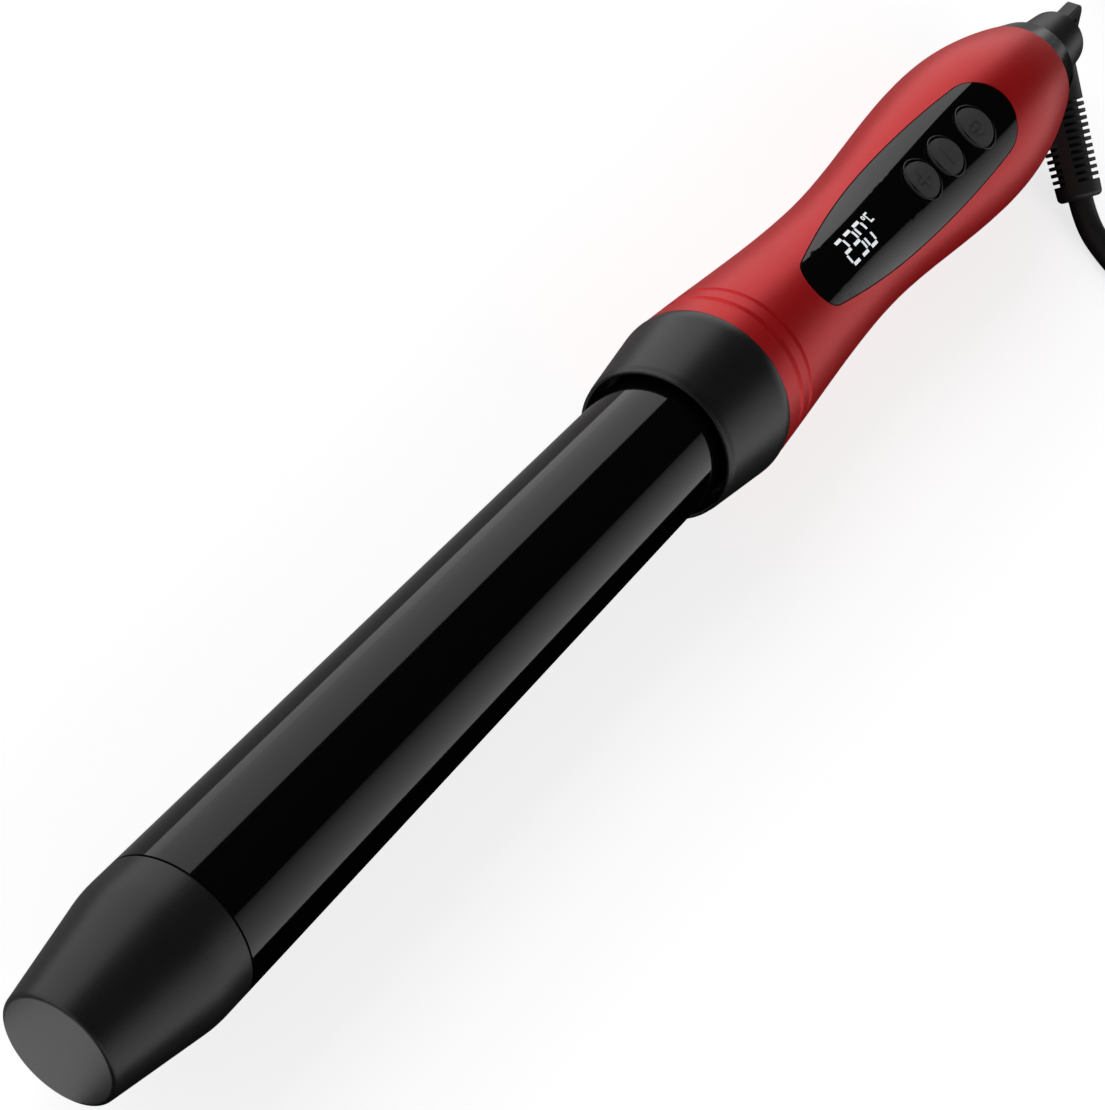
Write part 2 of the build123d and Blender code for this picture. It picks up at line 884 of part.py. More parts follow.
def rear_ring():
    """The trim ring that closes the handle's back and holds the bearing."""
    bore = bearing_radius + slide_fit
    end = ring_start + ring_length
    flange_seat = bearing_flange_radius + slide_fit
    skin = FilletPolyline(
        (ring_start, ring_front_radius), (end, ring_rear_radius), (end, bore), radius=ring_edge
    )
    inside = Polyline(
        (end, bore),
        (bearing_start, bore),
        (bearing_start, flange_seat),
        (spigot_start, flange_seat),
        (spigot_start, land_radius - slide_fit),
        (ring_start, land_radius - slide_fit),
        (ring_start, ring_front_radius),
    )
    return revolve(make_face([skin, inside]), Axis.X)


def swivel_bearing():
    """The plain bush that the head's spindle turns in."""
    bore = spindle_radius + spindle_clearance
    return turned([
        (bearing_start - bearing_flange, bore),
        (bearing_start - bearing_flange, bearing_flange_radius),
        (bearing_start, bearing_flange_radius),
        (bearing_start, bearing_radius),
        (bearing_end, bearing_radius),
        (bearing_end, bore),
    ])


def retaining_clip():
    """The ring in the spindle's groove that keeps the head in the handle."""
    bore = spindle_radius - clip_groove + slide_fit
    return tube(clip_end - clip_thickness, clip_end, clip_radius, bore)


def build_swivel_parts():
    keep("rear_ring", rear_ring())
    keep("swivel_bearing", swivel_bearing())
    keep("retaining_clip", retaining_clip())
    for name, x in (("slip_ring_front", slip_front), ("slip_ring_rear", slip_rear)):
        keep(name, tube(x, x + slip_ring_width, slip_radius, spindle_radius + 0.02))
    for name, x in (("brush_front", slip_front), ("brush_rear", slip_rear)):
        half = brush_half_width
        brush = block(x + 0.5, x + slip_ring_width - 0.5, -half, half, brush_block_high, brush_top)
        keep(name, brush)
    half = brush_block_half
    keep("brush_block", block(brush_front, brush_rear, -half, half, brush_block_low, brush_block_high))


# ---- Swivel head, hang loop and cord boot -----------------------------------------------

boot_root = Vector(head_start + boot_place, 0, 0)
lean = radians(boot_lean)
dip = radians(boot_dip)
boot_way = Vector(-sin(lean), -cos(lean) * cos(dip), -cos(lean) * sin(dip))
boot_plane = Plane(origin=boot_root, x_dir=Vector(1, 0, 0) - boot_way * boot_way.X, z_dir=boot_way)


def head_body(grow=0.0):
    """The head's outer cone with a rounded back edge, grown by a clearance."""
    skin = FilletPolyline(
        (head_start - grow, 0),
        (head_start - grow, head_front_radius + grow),
        (head_end + grow, head_rear_radius + grow),
        (head_end + grow, 0),
        radius=[head_front_edge, head_edge],
    )
    return revolve(make_face([skin, Line(skin @ 1, skin @ 0)]), Axis.X)


def hang_loop():
    """A flat tab with rounded corners and a round hole, along the axis behind the head."""
    end = head_end + loop_reach
    root = head_end - loop_root
    strip = Pos((root + end) / 2, 0) * Rectangle(end - root, loop_width)
    tab = fillet(strip.vertices().group_by(Axis.X)[-1], loop_corner)
    tab = tab - Pos(end - loop_rim - loop_hole_radius, 0) * Circle(loop_hole_radius)
    solid = extrude(tab, loop_thickness / 2, both=True)
    rims = [e for e in solid.edges() if e.geom_type == GeomType.CIRCLE]
    solid = fillet(rims, loop_edge)
    return Rot(loop_turn, 0, 0) * solid


def boot_root_rod(start, radius):
    """The boot's round root inside the head, or the socket for it."""
    return boot_plane.location * Rot(0, -90, 0) * rod(start, boot_root_end, radius)


def swivel_head():
    """The turning head: a cone, a hollow spindle, the hang loop and the boot's socket."""
    spindle = rod(spindle_start, head_start + 1, spindle_radius)
    groove_start = clip_end - clip_thickness - slide_fit
    groove = tube(
        groove_start, clip_end + slide_fit, spindle_radius + 1, spindle_radius - clip_groove
    )
    head = head_body() + spindle + hang_loop()
    head = head - groove - rod(spindle_start - 1, boot_root.X, spindle_bore)
    return head - boot_root_rod(boot_root_start - slide_fit, boot_root_radius + slide_fit)


def cord_boot():
    """The ribbed strain relief: a tapered sleeve, slots between ribs and two spines."""
    taper = (boot_base_radius - boot_end_radius) / (boot_length - head_rear_radius)
    base_radius = boot_end_radius + taper * (boot_length - boot_hidden)
    skin = FilletPolyline(
        (boot_hidden, 0),
        (boot_hidden, base_radius),
        (boot_length, boot_end_radius),
        (boot_length, 0),
        radius=[boot_root_edge, boot_edge],
    )
    sleeve = revolve(make_face([skin, Line(skin @ 1, skin @ 0)]), Axis.X)
    slots = None
    for i in range(rib_count):
        x = rib_start + i * rib_pitch
        radius = boot_end_radius + taper * (boot_length - x)
        slot = tube(x, x + rib_gap, radius + 2, radius - rib_depth)
        slots = slot if slots is None else slots + slot
    reach = boot_base_radius + 3
    spine = block(0, boot_length, -reach, reach, -spine_width / 2, spine_width / 2)
    slots = slots - Rot(90 - spine_turn, 0, 0) * spine
    boot = sleeve - slots
    boot = boot_plane.location * Rot(0, -90, 0) * boot
    return (boot - head_body(slide_fit)) + boot_root_rod(boot_root_start, boot_root_radius)


# ---- Cord, coil, tie and plug --------------------------------------------------------------

boot_end = boot_root + boot_way * boot_length
cord_start = boot_end + Vector(-wand_length / 2, 0, axis_height)
coil_base = tie_thickness + tie_clearance + cord_radius
coil_pitch = 2 * cord_radius + coil_gap


def route(start, headings, runs, shares, climb):
    """Points over the surface from a start: a heading and a length for each run, and how
    much of the whole climb each run has made by its end."""
    points = [start]
    for heading, run, share in zip(headings, runs, shares):
        step = Vector(run * cos(radians(heading)), run * sin(radians(heading)), 0)
        place = points[-1] + step
        points.append(Vector(place.X, place.Y, start.Z + climb * share))
    return points


def free_run():
    """The cord's route from the boot, down to the surface and along it to the coil."""
    landing = cord_start + boot_way * exit_run
    landing = Vector(landing.X, landing.Y, cord_radius + cord_lift)
    climb = coil_base - landing.Z
    return [cord_start] + route(landing, free_headings, free_runs, free_rises, climb)


def corner_radii(points):
    """The arc at each corner: 0.45 of the shorter run over the tangent of half the turn."""
    radii = []
    for a, b, c in zip(points, points[1:], points[2:]):
        turn = radians((b - a).get_angle(c - b))
        radii.append(0.45 * min((b - a).length, (c - b).length) / tan(turn / 2))
    return radii


def cord_tube(name, points):
    radii = corner_radii(points)
    path = FilletPolyline(*points, radius=radii)
    section = Plane(origin=path @ 0, z_dir=path % 0) * Circle(cord_radius)
    solid = sweep(section, path=path)
    ideal = pi * cord_radius**2 * path.length
    print(name, "length", round(path.length, 1), "radii", [round(r, 1) for r in radii])
    print(name, "volume over section times length", round(solid.volume / ideal, 4))
    nodes[name] = solid
    return path.length


def coil_path(entry):
    """Half turns that spiral in, climb a layer in one half turn and spiral out, and a last
    quarter turn up to the strap."""
    step = coil_pitch / 2
    edges = []
    centre = entry + Vector(2 * cord_radius, coil_outer_radius, 0)
    side = -1
    radius = coil_outer_radius
    for turns, change in ((coil_turns_in, -step), (coil_turns_out, step)):
        z = centre.Z
        for _ in range(turns):
            start = Vector(centre.X, centre.Y + side * radius, z)
            middle = Vector(centre.X - side * radius, centre.Y, z)
            end = Vector(centre.X, centre.Y - side * radius, z)
            edges.append(ThreePointArc(start, middle, end))
            centre = Vector(centre.X, centre.Y + side * change, z)
            radius += change
            side = -side
        if change < 0:
            crest = sqrt(radius**2 + coil_pitch**2 / 4)
            start = Vector(centre.X, centre.Y + side * radius, z)
            middle = Vector(centre.X - side * crest, centre.Y, z + coil_pitch / 2)
            end = Vector(centre.X, centre.Y - side * radius, z + coil_pitch)
            climb_in = TangentArc(start, middle, tangent=Vector(-side, 0, 0))
            climb_out = TangentArc(climb_in @ 1, end, tangent=climb_in % 1)
            edges += [climb_in, climb_out]
            centre = Vector(centre.X, centre.Y + side * step, z + coil_pitch)
            radius += step
            side = -side
    lean = radius / sqrt(2)
    start = Vector(centre.X, centre.Y + side * radius, centre.Z)
    middle = Vector(centre.X - side * lean, centre.Y + side * lean, centre.Z)
    end = Vector(centre.X - side * radius, centre.Y, centre.Z)
    lead_in = Line(entry, edges[0] @ 0)
    return Wire([lead_in] + edges + [ThreePointArc(start, middle, end)])


def least_self_gap(path):
    """The least gap between the coil's turns, measured on points along it."""
    count = int(path.length / 2.0)
    points = [path @ (i / count) for i in range(count + 1)]
    skip = int(coil_pitch * 3 / 2.0)
    gaps = [(p - q).length for i, p in enumerate(points) for q in points[i + skip :: 2]]
    return min(gaps) - 2 * cord_radius


def build_coil(entry):
    path = coil_path(entry)
    section = Plane(origin=path @ 0, z_dir=path % 0) * Circle(cord_radius)
    nodes["cord_coil"] = sweep(section, path=path)
    print("cord_coil length", round(path.length, 1), "least gap to itself", round(least_self_gap(path), 2))
    return path


def tail_run(start):
    """The cord's route from under the strap, up over the coil to the plug that lies on it."""
    rise = cord_radius + plug_lift + plug_thickness / 2
    return route(start, tail_headings, tail_runs, tail_rises, rise)


def coil_tie(entry):
    """A strap round the coil where its two layers lie one on the other."""
    inner_turn = coil_outer_radius - (coil_turns_in - 1) * coil_pitch / 2
    inner_edge = inner_turn - cord_radius
    reach = tie_width / 2 + coil_pitch / 2
    room = cord_radius + tie_clearance
    x0 = sqrt(inner_edge**2 - reach**2) - tie_clearance
    x1 = coil_outer_radius + room
    height = coil_pitch + 2 * room
    window = Rectangle(x1 - x0, height)
    band = Plane.XZ * (offset(window, tie_thickness) - window)
    ring = extrude(band, tie_width / 2, both=True)
    centre = entry + Vector(2 * cord_radius, coil_outer_radius + coil_pitch / 2, coil_pitch / 2)
    return Pos(centre.X + (x0 + x1) / 2, centre.Y, centre.Z) * ring


def plug_body():
    """A flat two-pin plug: a relief sleeve, a tapered body and a sleeve round each pin."""
    neck = plug_neck_width / 2
    half = plug_width / 2
    end = plug_relief + plug_length
    upper = [
        (plug_relief, neck),
        (plug_relief + plug_length * plug_waist_share, neck + plug_waist_swell),
        (end - plug_shoulder, half),
        (end, half),
    ]
    plan = make_face(Polyline(*upper, *[(x, -y) for x, y in reversed(upper)], close=True))
    plan = fillet(plan.vertices(), plug_edge)
    body = extrude(plan, plug_thickness / 2, both=True)
    flat_edges = body.edges().filter_by(Axis.Z, reverse=True)
    body = fillet(flat_edges, plug_flat_edge)
    relief = turned([
        (0, 0),
        (0, cord_radius + plug_relief_wall),
        (plug_relief + plug_lap, neck - plug_relief_step),
        (plug_relief + plug_lap, 0),
    ])
    body += relief
    for side in (1, -1):
        place = Pos(0, side * pin_spacing / 2, 0)
        body += place * rod(end - 1, end + pin_sleeve, pin_sleeve_radius)
        body -= place * rod(end - pin_root, end + pin_sleeve + 1, pin_core + slide_fit)
    return body


def plug_pin(side):
    """One round pin: a core inside its sleeve and a full-size round-nosed tip."""
    end = plug_relief + plug_length
    tip = end + pin_length
    pin = turned([
        (end - pin_root, 0),
        (end - pin_root, pin_core),
        (end + pin_sleeve, pin_core),
        (end + pin_sleeve, pin_radius),
        (tip - pin_nose, pin_radius),
        (tip, pin_radius - pin_nose),
        (tip, 0),
    ])
    return Pos(0, side * pin_spacing / 2, 0) * pin


# ---- Build and write -----------------------------------------------------------------------


def build():
    keep("tip_cap", tip_cap())
    keep("tip_insulator", tip_insulator())
    keep("barrel_tube", tube(barrel_start, barrel_end, barrel_radius, barrel_bore))
    build_heater()
    keep("barrel_seat", barrel_seat())
    keep("collar", collar())
    keep("handle_top_shell", handle_top_shell())
    keep("handle_bottom_shell", handle_bottom_shell())
    keep("handle_screws", handle_screws())
    build_panel()
    build_buttons()
    build_electronics()
    keep("board_screws", board_screws())
    build_leads()
    build_swivel_parts()
    keep("swivel_head", swivel_head())
    keep("cord_boot", cord_boot())
    free_points = free_run()
    free_length = cord_tube("cord", free_points)
    coil = build_coil(free_points[-1])
    nodes["coil_tie"] = coil_tie(free_points[-1])
    tail_points = tail_run(coil @ 1)
    tail_length = cord_tube("cord_tail", tail_points)
    print("whole cord", round(free_length + coil.length + tail_length, 1))
    at_plug = Pos(*tail_points[-1]) * Rot(0, 0, tail_headings[-1])
    nodes["plug_body"] = at_plug * plug_body()
    for number, side in ((1, 1), (2, -1)):
        nodes[f"plug_pin_{number}"] = at_plug * plug_pin(side)


build()
os.makedirs("parts", exist_ok=True)
for name, shape in nodes.items():
    export_step(shape, f"parts/{name}.step")
print("wand length", round(wand_length, 2), "nodes", len(nodes))
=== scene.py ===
import math

import bpy
from mathutils import Matrix, Vector


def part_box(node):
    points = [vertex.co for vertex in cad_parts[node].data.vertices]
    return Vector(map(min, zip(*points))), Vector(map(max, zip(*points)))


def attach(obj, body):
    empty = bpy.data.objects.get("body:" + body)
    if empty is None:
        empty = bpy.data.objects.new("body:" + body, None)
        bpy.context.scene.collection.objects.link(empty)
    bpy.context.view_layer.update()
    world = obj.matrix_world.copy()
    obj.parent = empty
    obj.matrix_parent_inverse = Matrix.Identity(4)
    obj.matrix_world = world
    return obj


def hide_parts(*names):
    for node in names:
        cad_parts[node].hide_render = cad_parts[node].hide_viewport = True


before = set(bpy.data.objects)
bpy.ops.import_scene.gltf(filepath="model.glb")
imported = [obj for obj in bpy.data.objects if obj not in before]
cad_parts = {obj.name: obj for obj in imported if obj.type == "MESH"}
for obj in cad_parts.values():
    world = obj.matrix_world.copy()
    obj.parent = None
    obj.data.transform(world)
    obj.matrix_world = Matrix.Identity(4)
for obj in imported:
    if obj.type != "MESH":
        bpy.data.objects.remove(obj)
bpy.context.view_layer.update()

bl_info = {
    "name": "Curling wand",
    "version": (1, 0, 0),
    "blender": (4, 5, 0),
    "location": "View3D > Sidebar > Wand",
    "description": "Dresses the curling wand's solids, with its cord and a plain studio",
    "category": "Object",
}

MM = 0.001


# ---- Sizes and colours a user would change ----------------------------------


def mm_size(label, about, value):
    """A length property in metres whose default is given in millimetres."""
    return bpy.props.FloatProperty(
        name=label, description=about, default=value * MM, unit="LENGTH", precision=5
    )


def hex_colour(label, about, value):
    """A colour property that holds an sRGB hex value."""
    return bpy.props.StringProperty(name=label, description=about, default=value)


class WandFinish(bpy.types.PropertyGroup):
    paint: hex_colour("Paint", "Soft-touch paint on the handle", "#D91E22")
    guard: hex_colour("Guard plastic", "Tip cap and collar", "#121213")
    barrel: hex_colour("Barrel", "Ceramic coating on the barrel", "#040404")
    panel: hex_colour("Panel", "Polished control panel", "#030303")
    button: hex_colour("Buttons", "Matte push buttons", "#454547")
    readout: hex_colour("Readout", "Lit segments", "#E2E8EC")
    small_rim: mm_size("Small rim", "Radius of the edge of a small button's hole", 5.93)
    large_rim: mm_size("Large rim", "Radius of the edge of the power button's hole", 6.48)
    head: hex_colour("Head", "Turning head and hang loop", "#121213")
    rubber: hex_colour("Flex", "Boot, cord and plug", "#191A1B")


class WandCord(bpy.types.PropertyGroup):
    radius: mm_size("Radius", "Half the cord's thickness", 3.5)
    coil_radius: mm_size("Coil radius", "Outermost turn of the coil", 48.2)
    coil_gap: mm_size("Coil gap", "Room between two turns", 0.6)


class WandStudio(bpy.types.PropertyGroup):
    floor: hex_colour("Floor", "Plain pale floor", "#F4F4F4")
    board: hex_colour("Board", "How much of the lamps' light the floor returns", "#CFCFCF")
    lens: bpy.props.FloatProperty(
        name="Lens", description="Focal length", default=79.44, unit="CAMERA"
    )
    softbox: bpy.props.FloatProperty(
        name="Softboxes", description="Brightness of the side softboxes", default=1.0
    )
    backdrop: bpy.props.FloatProperty(
        name="Backdrop",
        description="The floor's own white, without its shadow",
        default=0.80,
        min=0.0,
        max=1.0,
        subtype="FACTOR",
    )
    fill: bpy.props.FloatProperty(
        name="Fill", description="Brightness of the overhead fill", default=0.3
    )


# ---- Materials ---------------------------------------------------------------


def linear(code):
    """An sRGB hex colour as linear RGBA."""
    channels = [int(code[i : i + 2], 16) / 255 for i in (1, 3, 5)]
    curve = [c / 12.92 if c <= 0.04045 else ((c + 0.055) / 1.055) ** 2.4 for c in channels]
    return (*curve, 1.0)


def add_node(tree, kind, inputs=(), **settings):
    """Adds a node, sets its properties, then its sockets: a value, or a socket to link."""
    node = tree.nodes.new(kind)
    for key, value in settings.items():
        setattr(node, key, value)
    for key, value in dict(inputs).items():
        if isinstance(value, bpy.types.NodeSocket):
            tree.links.new(value, node.inputs[key])
        else:
            node.inputs[key].default_value = value
    return node


def plain_material(name, colour, roughness, **sockets):
    """A named material and its principled shader, with uniform values on the sockets."""
    material = bpy.data.materials.new(name)
    material.use_nodes = True
    shader = material.node_tree.nodes["Principled BSDF"]
    shader.inputs["Base Color"].default_value = linear(colour)
    shader.inputs["Roughness"].default_value = roughness
    for key, value in sockets.items():
        shader.inputs[key.replace("_", " ")].default_value = value
    return material, material.node_tree, shader


def mottle(tree, shader, colour, other, grain):
    """Drifts the colour gently between two shades over a grain size in metres."""
    place = add_node(tree, "ShaderNodeTexCoord").outputs["Object"]
    noise = add_node(
        tree, "ShaderNodeTexNoise", {"Vector": place, "Scale": 1 / grain, "Detail": 3.0}
    )
    ramp = add_node(tree, "ShaderNodeValToRGB", {"Fac": noise.outputs["Fac"]})
    low, high = ramp.color_ramp.elements
    low.position, high.position = 0.25, 0.75
    low.color, high.color = linear(colour), linear(other)
    tree.links.new(ramp.outputs["Color"], shader.inputs["Base Color"])


def grain_bump(tree, shader, grain, height, detail=2.0):
    """Raises a fine moulded grain: its size and height are in metres."""
    place = add_node(tree, "ShaderNodeTexCoord").outputs["Object"]
    noise = add_node(
        tree, "ShaderNodeTexNoise", {"Vector": place, "Scale": 1 / grain, "Detail": detail}
    )
    bump = add_node(
        tree, "ShaderNodeBump", {"Height": noise.outputs["Fac"], "Distance": height}
    )
    tree.links.new(bump.outputs["Normal"], shader.inputs["Normal"])


def worn_gloss(tree, shader, low, high, patch):
    """Lets the roughness drift between two values over patches of a size in metres."""
    place = add_node(tree, "ShaderNodeTexCoord").outputs["Object"]
    noise = add_node(
        tree, "ShaderNodeTexNoise", {"Vector": place, "Scale": 1 / patch, "Detail": 4.0}
    )
    span = add_node(
        tree,
        "ShaderNodeMapRange",
        {"Value": noise.outputs["Fac"], "To Min": low, "To Max": high},
    )
    tree.links.new(span.outputs["Result"], shader.inputs["Roughness"])


def soft_touch_paint(finish):
    # Metallic soft-touch paint over moulded ABS: an even satin red with broad, soft
    # highlights that keep the paint's own colour.
    material, tree, shader = plain_material(
        "soft_touch_paint_on_abs", finish.paint, 0.38, Metallic=0.5, IOR=1.5
    )
    mottle(tree, shader, finish.paint, "#D31C20", 18 * MM)
    grain_bump(tree, shader, 0.35 * MM, 0.006 * MM)
    return material


def spark_eroded_pbt(finish):
    # Glass-filled PBT from a spark-eroded mould: satin charcoal that spreads highlights.
    material, tree, shader = plain_material("spark_eroded_pbt", finish.guard, 0.36, IOR=1.57)
    mottle(tree, shader, finish.guard, "#151516", 6 * MM)
    grain_bump(tree, shader, 0.4 * MM, 0.02 * MM)
    return material


def ceramic_coating(finish):
    # Baked ceramic coating on a drawn aluminium tube: near-black with mirror-like edges
    # to its reflections, broken only by a very shallow orange peel.
    material, tree, shader = plain_material(
        "baked_ceramic_coating", finish.barrel, 0.06, IOR=1.5
    )
    worn_gloss(tree, shader, 0.045, 0.085, 25 * MM)
    grain_bump(tree, shader, 9 * MM, 0.004 * MM, 0.0)
    return material


def polished_polycarbonate(finish):
    # Polished black polycarbonate: deep black with clean, rather bright reflections.
    material, tree, shader = plain_material(
        "polished_polycarbonate", finish.panel, 0.05, IOR=1.585
    )
    worn_gloss(tree, shader, 0.03, 0.07, 12 * MM)
    return material


def matte_keycap(finish):
    # Fine matte ABS of the push buttons, slightly rubbed.
    material, tree, shader = plain_material("matte_moulded_keycap", finish.button, 0.5, IOR=1.5)
    grain_bump(tree, shader, 0.3 * MM, 0.015 * MM)
    worn_gloss(tree, shader, 0.42, 0.56, 3 * MM)
    return material


def lit_segment(finish):
    # Diffused white light of the readout behind clear acrylic.
    material, tree, shader = plain_material(
        "lit_white_segment",
        finish.readout,
        0.3,
        Emission_Color=linear(finish.readout),
        Emission_Strength=0.55,
    )
    grain_bump(tree, shader, 0.2 * MM, 0.01 * MM)
    return material


def moulded_nylon(finish):
    # Moulded nylon of the head and loop: satin, with a light mould grain.
    material, tree, shader = plain_material("moulded_nylon", finish.head, 0.4, IOR=1.53)
    mottle(tree, shader, finish.head, "#161617", 5 * MM)
    grain_bump(tree, shader, 0.5 * MM, 0.015 * MM)
    return material


def polished_abs():
    # Polished ABS trim: black with sharp highlights.
    material, tree, shader = plain_material("polished_abs", "#08090B", 0.12, IOR=1.53)
    worn_gloss(tree, shader, 0.09, 0.16, 8 * MM)
    return material


def flexible_pvc(finish):
    # Plasticised PVC of the boot, cord and plug: dark, satin, faintly uneven.
    material, tree, shader = plain_material("flexible_pvc", finish.rubber, 0.45, IOR=1.53)
    mottle(tree, shader, finish.rubber, "#1E1F20", 4 * MM)
    grain_bump(tree, shader, 0.6 * MM, 0.02 * MM)
    return material


def hook_and_loop():
    # Woven nylon strap: matte black, with its threads as fine crossing ridges.
    material, tree, shader = plain_material(
        "woven_nylon_strap", "#101012", 0.8, Sheen_Weight=0.4
    )
    place = add_node(tree, "ShaderNodeTexCoord").outputs["Object"]
    thread = 0.6 * MM
    # A wave texture has 20 bands to a unit of its scale.
    scale = 1 / (thread * 20)
    warp, weft = (
        add_node(
            tree,
            "ShaderNodeTexWave",
            {"Vector": place, "Scale": scale},
            bands_direction=direction,
        )
        for direction in ("Y", "Z")
    )
    both = add_node(
        tree,
        "ShaderNodeMath",
        {0: warp.outputs["Fac"], 1: weft.outputs["Fac"]},
        operation="MULTIPLY",
    )
    bump = add_node(
        tree, "ShaderNodeBump", {"Height": both.outputs["Value"], "Distance": 0.15 * MM}
    )
    tree.links.new(bump.outputs["Normal"], shader.inputs["Normal"])
    return material


def metal(name, colour, roughness, grain):
    """A bare metal with a fine drawn or plated grain."""
    material, tree, shader = plain_material(name, colour, roughness, Metallic=1.0)
    worn_gloss(tree, shader, roughness * 0.8, roughness * 1.25, 4 * MM)
    grain_bump(tree, shader, grain, 0.004 * MM)
    return material


def moulding(name, colour, roughness, other):
    """A matte moulded or cast material, whose colour drifts between two near shades."""
    material, tree, shader = plain_material(name, colour, roughness, IOR=1.5)
    mottle(tree, shader, colour, other, 3 * MM)
    grain_bump(tree, shader, 0.5 * MM, 0.02 * MM)
    return material


# ---- Dressing the solids -------------------------------------------------------


def dress(material, *names):
    """Gives CAD nodes their material."""
    for name in names:
        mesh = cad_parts[name].data
        mesh.materials.clear()
        mesh.materials.append(material)
        for face in mesh.polygons:
            face.material_index = 0


def numbered(stem):
    """The nodes whose names start with a stem, in order."""
    return sorted(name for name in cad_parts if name.startswith(stem))


RIM_RADIUS = 0.16 * MM
RIM_POINTS = 96
CREST_MARGIN = 3 * MM


def hole_rim(button, radius, material):
    """The rounded, polished edge of a button's hole, along the panel's curved face."""
    low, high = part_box(button)
    barrel_low, barrel_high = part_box("barrel_tube")
    axis = (barrel_low[2] + barrel_high[2]) / 2
    middle = (low[0] + high[0]) / 2
    face = panel_height(middle, radius) - axis
    curve = bpy.data.curves.new(button + "_rim", "CURVE")
    curve.dimensions = "3D"
    curve.bevel_depth = RIM_RADIUS
    curve.bevel_resolution = 3
    spline = curve.splines.new("POLY")
    spline.points.add(RIM_POINTS - 1)
    for i, point in enumerate(spline.points):
        angle = 2 * math.pi * i / RIM_POINTS
        x, y = middle + radius * math.cos(angle), radius * math.sin(angle)
        point.co = (x, y, axis + math.sqrt(face * face - y * y), 1.0)
    spline.use_cyclic_u = True
    piece = bpy.data.objects.new(button + "_rim", curve)
    bpy.context.scene.collection.objects.link(piece)
    piece.data.materials.append(material)
    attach(piece, "wand")
    return piece


def panel_height(x, near):
    """The height of the panel's crest beside a place along it."""
    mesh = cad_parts["control_panel"]
    place = mesh.matrix_world
    points = [place @ v.co for v in mesh.data.vertices]
    return max(p.z for p in points if abs(p.x - x) < near + CREST_MARGIN)


class WAND_OT_barrel(bpy.types.Operator):
    """The barrel, its tip and its collar"""

    bl_idname = "wand.barrel"
    bl_label = "Barrel, tip and collar"

    def execute(self, context):
        finish = context.scene.wand_finish
        dress(ceramic_coating(finish), "barrel_tube")
        dress(spark_eroded_pbt(finish), "tip_cap", "collar")
        return {"FINISHED"}


class WAND_OT_heater(bpy.types.Operator):
    """The heater inside the barrel"""

    bl_idname = "wand.heater"
    bl_label = "Heater"

    def execute(self, context):
        # Extruded aluminium: pale grey with a soft sheen.
        aluminium = metal("extruded_aluminium", "#C9CACC", 0.35, 0.3 * MM)
        dress(aluminium, "heat_spreader_upper", "heat_spreader_lower")
        # Rolled brass: warm yellow with rather clear reflections.
        brass = metal("rolled_brass", "#D9B469", 0.3, 0.2 * MM)
        dress(brass, "electrode_upper", "electrode_lower")
        dress(brass, "slip_ring_front", "slip_ring_rear", "brush_front", "brush_rear")
        # Cast polyimide film: amber and glossy.
        film = moulding("polyimide_film", "#C0711A", 0.25, "#C97C22")
        dress(film, "insulating_film_upper", "insulating_film_lower")
        # Pressed and fired ceramic: chalky buff.
        ceramic = moulding("fired_ceramic", "#B8AE9C", 0.6, "#C3BAA9")
        dress(ceramic, "temperature_sensor", *numbered("heating_plate"))
        # Zinc-plated steel: bluish grey with a slightly clouded shine.
        steel = metal("zinc_plated_steel", "#B7B9BB", 0.32, 0.25 * MM)
        dress(steel, "thermal_fuse", "handle_screws", "board_screws", "retaining_clip")
        return {"FINISHED"}


class WAND_OT_handle(bpy.types.Operator):
    """The handle's two shells and the trim ring behind them"""

    bl_idname = "wand.handle"
    bl_label = "Handle"

    def execute(self, context):
        finish = context.scene.wand_finish
        dress(soft_touch_paint(finish), "handle_top_shell", "handle_bottom_shell")
        dress(polished_abs(), "rear_ring")
        return {"FINISHED"}


class WAND_OT_panel(bpy.types.Operator):
    """The control panel, its readout and its buttons"""

    bl_idname = "wand.panel"
    bl_label = "Control panel"

    def execute(self, context):
        finish = context.scene.wand_finish
        polished = polished_polycarbonate(finish)
        dress(polished, "control_panel")
        dress(lit_segment(finish), "readout_segments")
        dress(matte_keycap(finish), *numbered("button_"))
        for name, rim in (
            ("button_plus", finish.small_rim),
            ("button_minus", finish.small_rim),
            ("button_power", finish.large_rim),
        ):
            hole_rim(name, rim, polished)
        return {"FINISHED"}


class WAND_OT_inside(bpy.types.Operator):
    """What the handle holds"""

    bl_idname = "wand.inside"
    bl_label = "Electronics"

    def execute(self, context):
        # Glass-filled PPS, moulded: near-black and dull.
        heatproof = moulding("glass_filled_pps", "#181818", 0.5, "#1D1D1D")
        dress(heatproof, "tip_insulator", "barrel_seat")
        # Glass laminate under solder mask: deep green and slightly glossy.
        board = moulding("solder_masked_laminate", "#12512A", 0.35, "#155A30")
        dress(board, "circuit_board")
        # Moulded epoxy of packages and switches: black and matte.
        epoxy = moulding("moulded_epoxy", "#141414", 0.45, "#191919")
        dress(epoxy, "display_module", "power_triac", "control_chip", "buzzer")
        dress(epoxy, *numbered("switch_"))
        # Polyester case of the capacitor: mustard yellow with a light gloss.
        case = moulding("polyester_film_case", "#C89A1E", 0.35, "#D0A427")
        dress(case, "filter_capacitor")
        # Extruded silicone of the leads: soft grey-white.
        silicone = moulding("silicone_insulation", "#B4B3AE", 0.55, "#BDBCB7")
        dress(silicone, "sensor_lead", *numbered("heater_lead"), *numbered("supply_lead"))
        # Moulded acetal: milky white and waxy.
        acetal = moulding("natural_acetal", "#D9D9D3", 0.4, "#E0E0DB")
        dress(acetal, "swivel_bearing", "brush_block")
        return {"FINISHED"}


# ---- Cord ------------------------------------------------------------------------

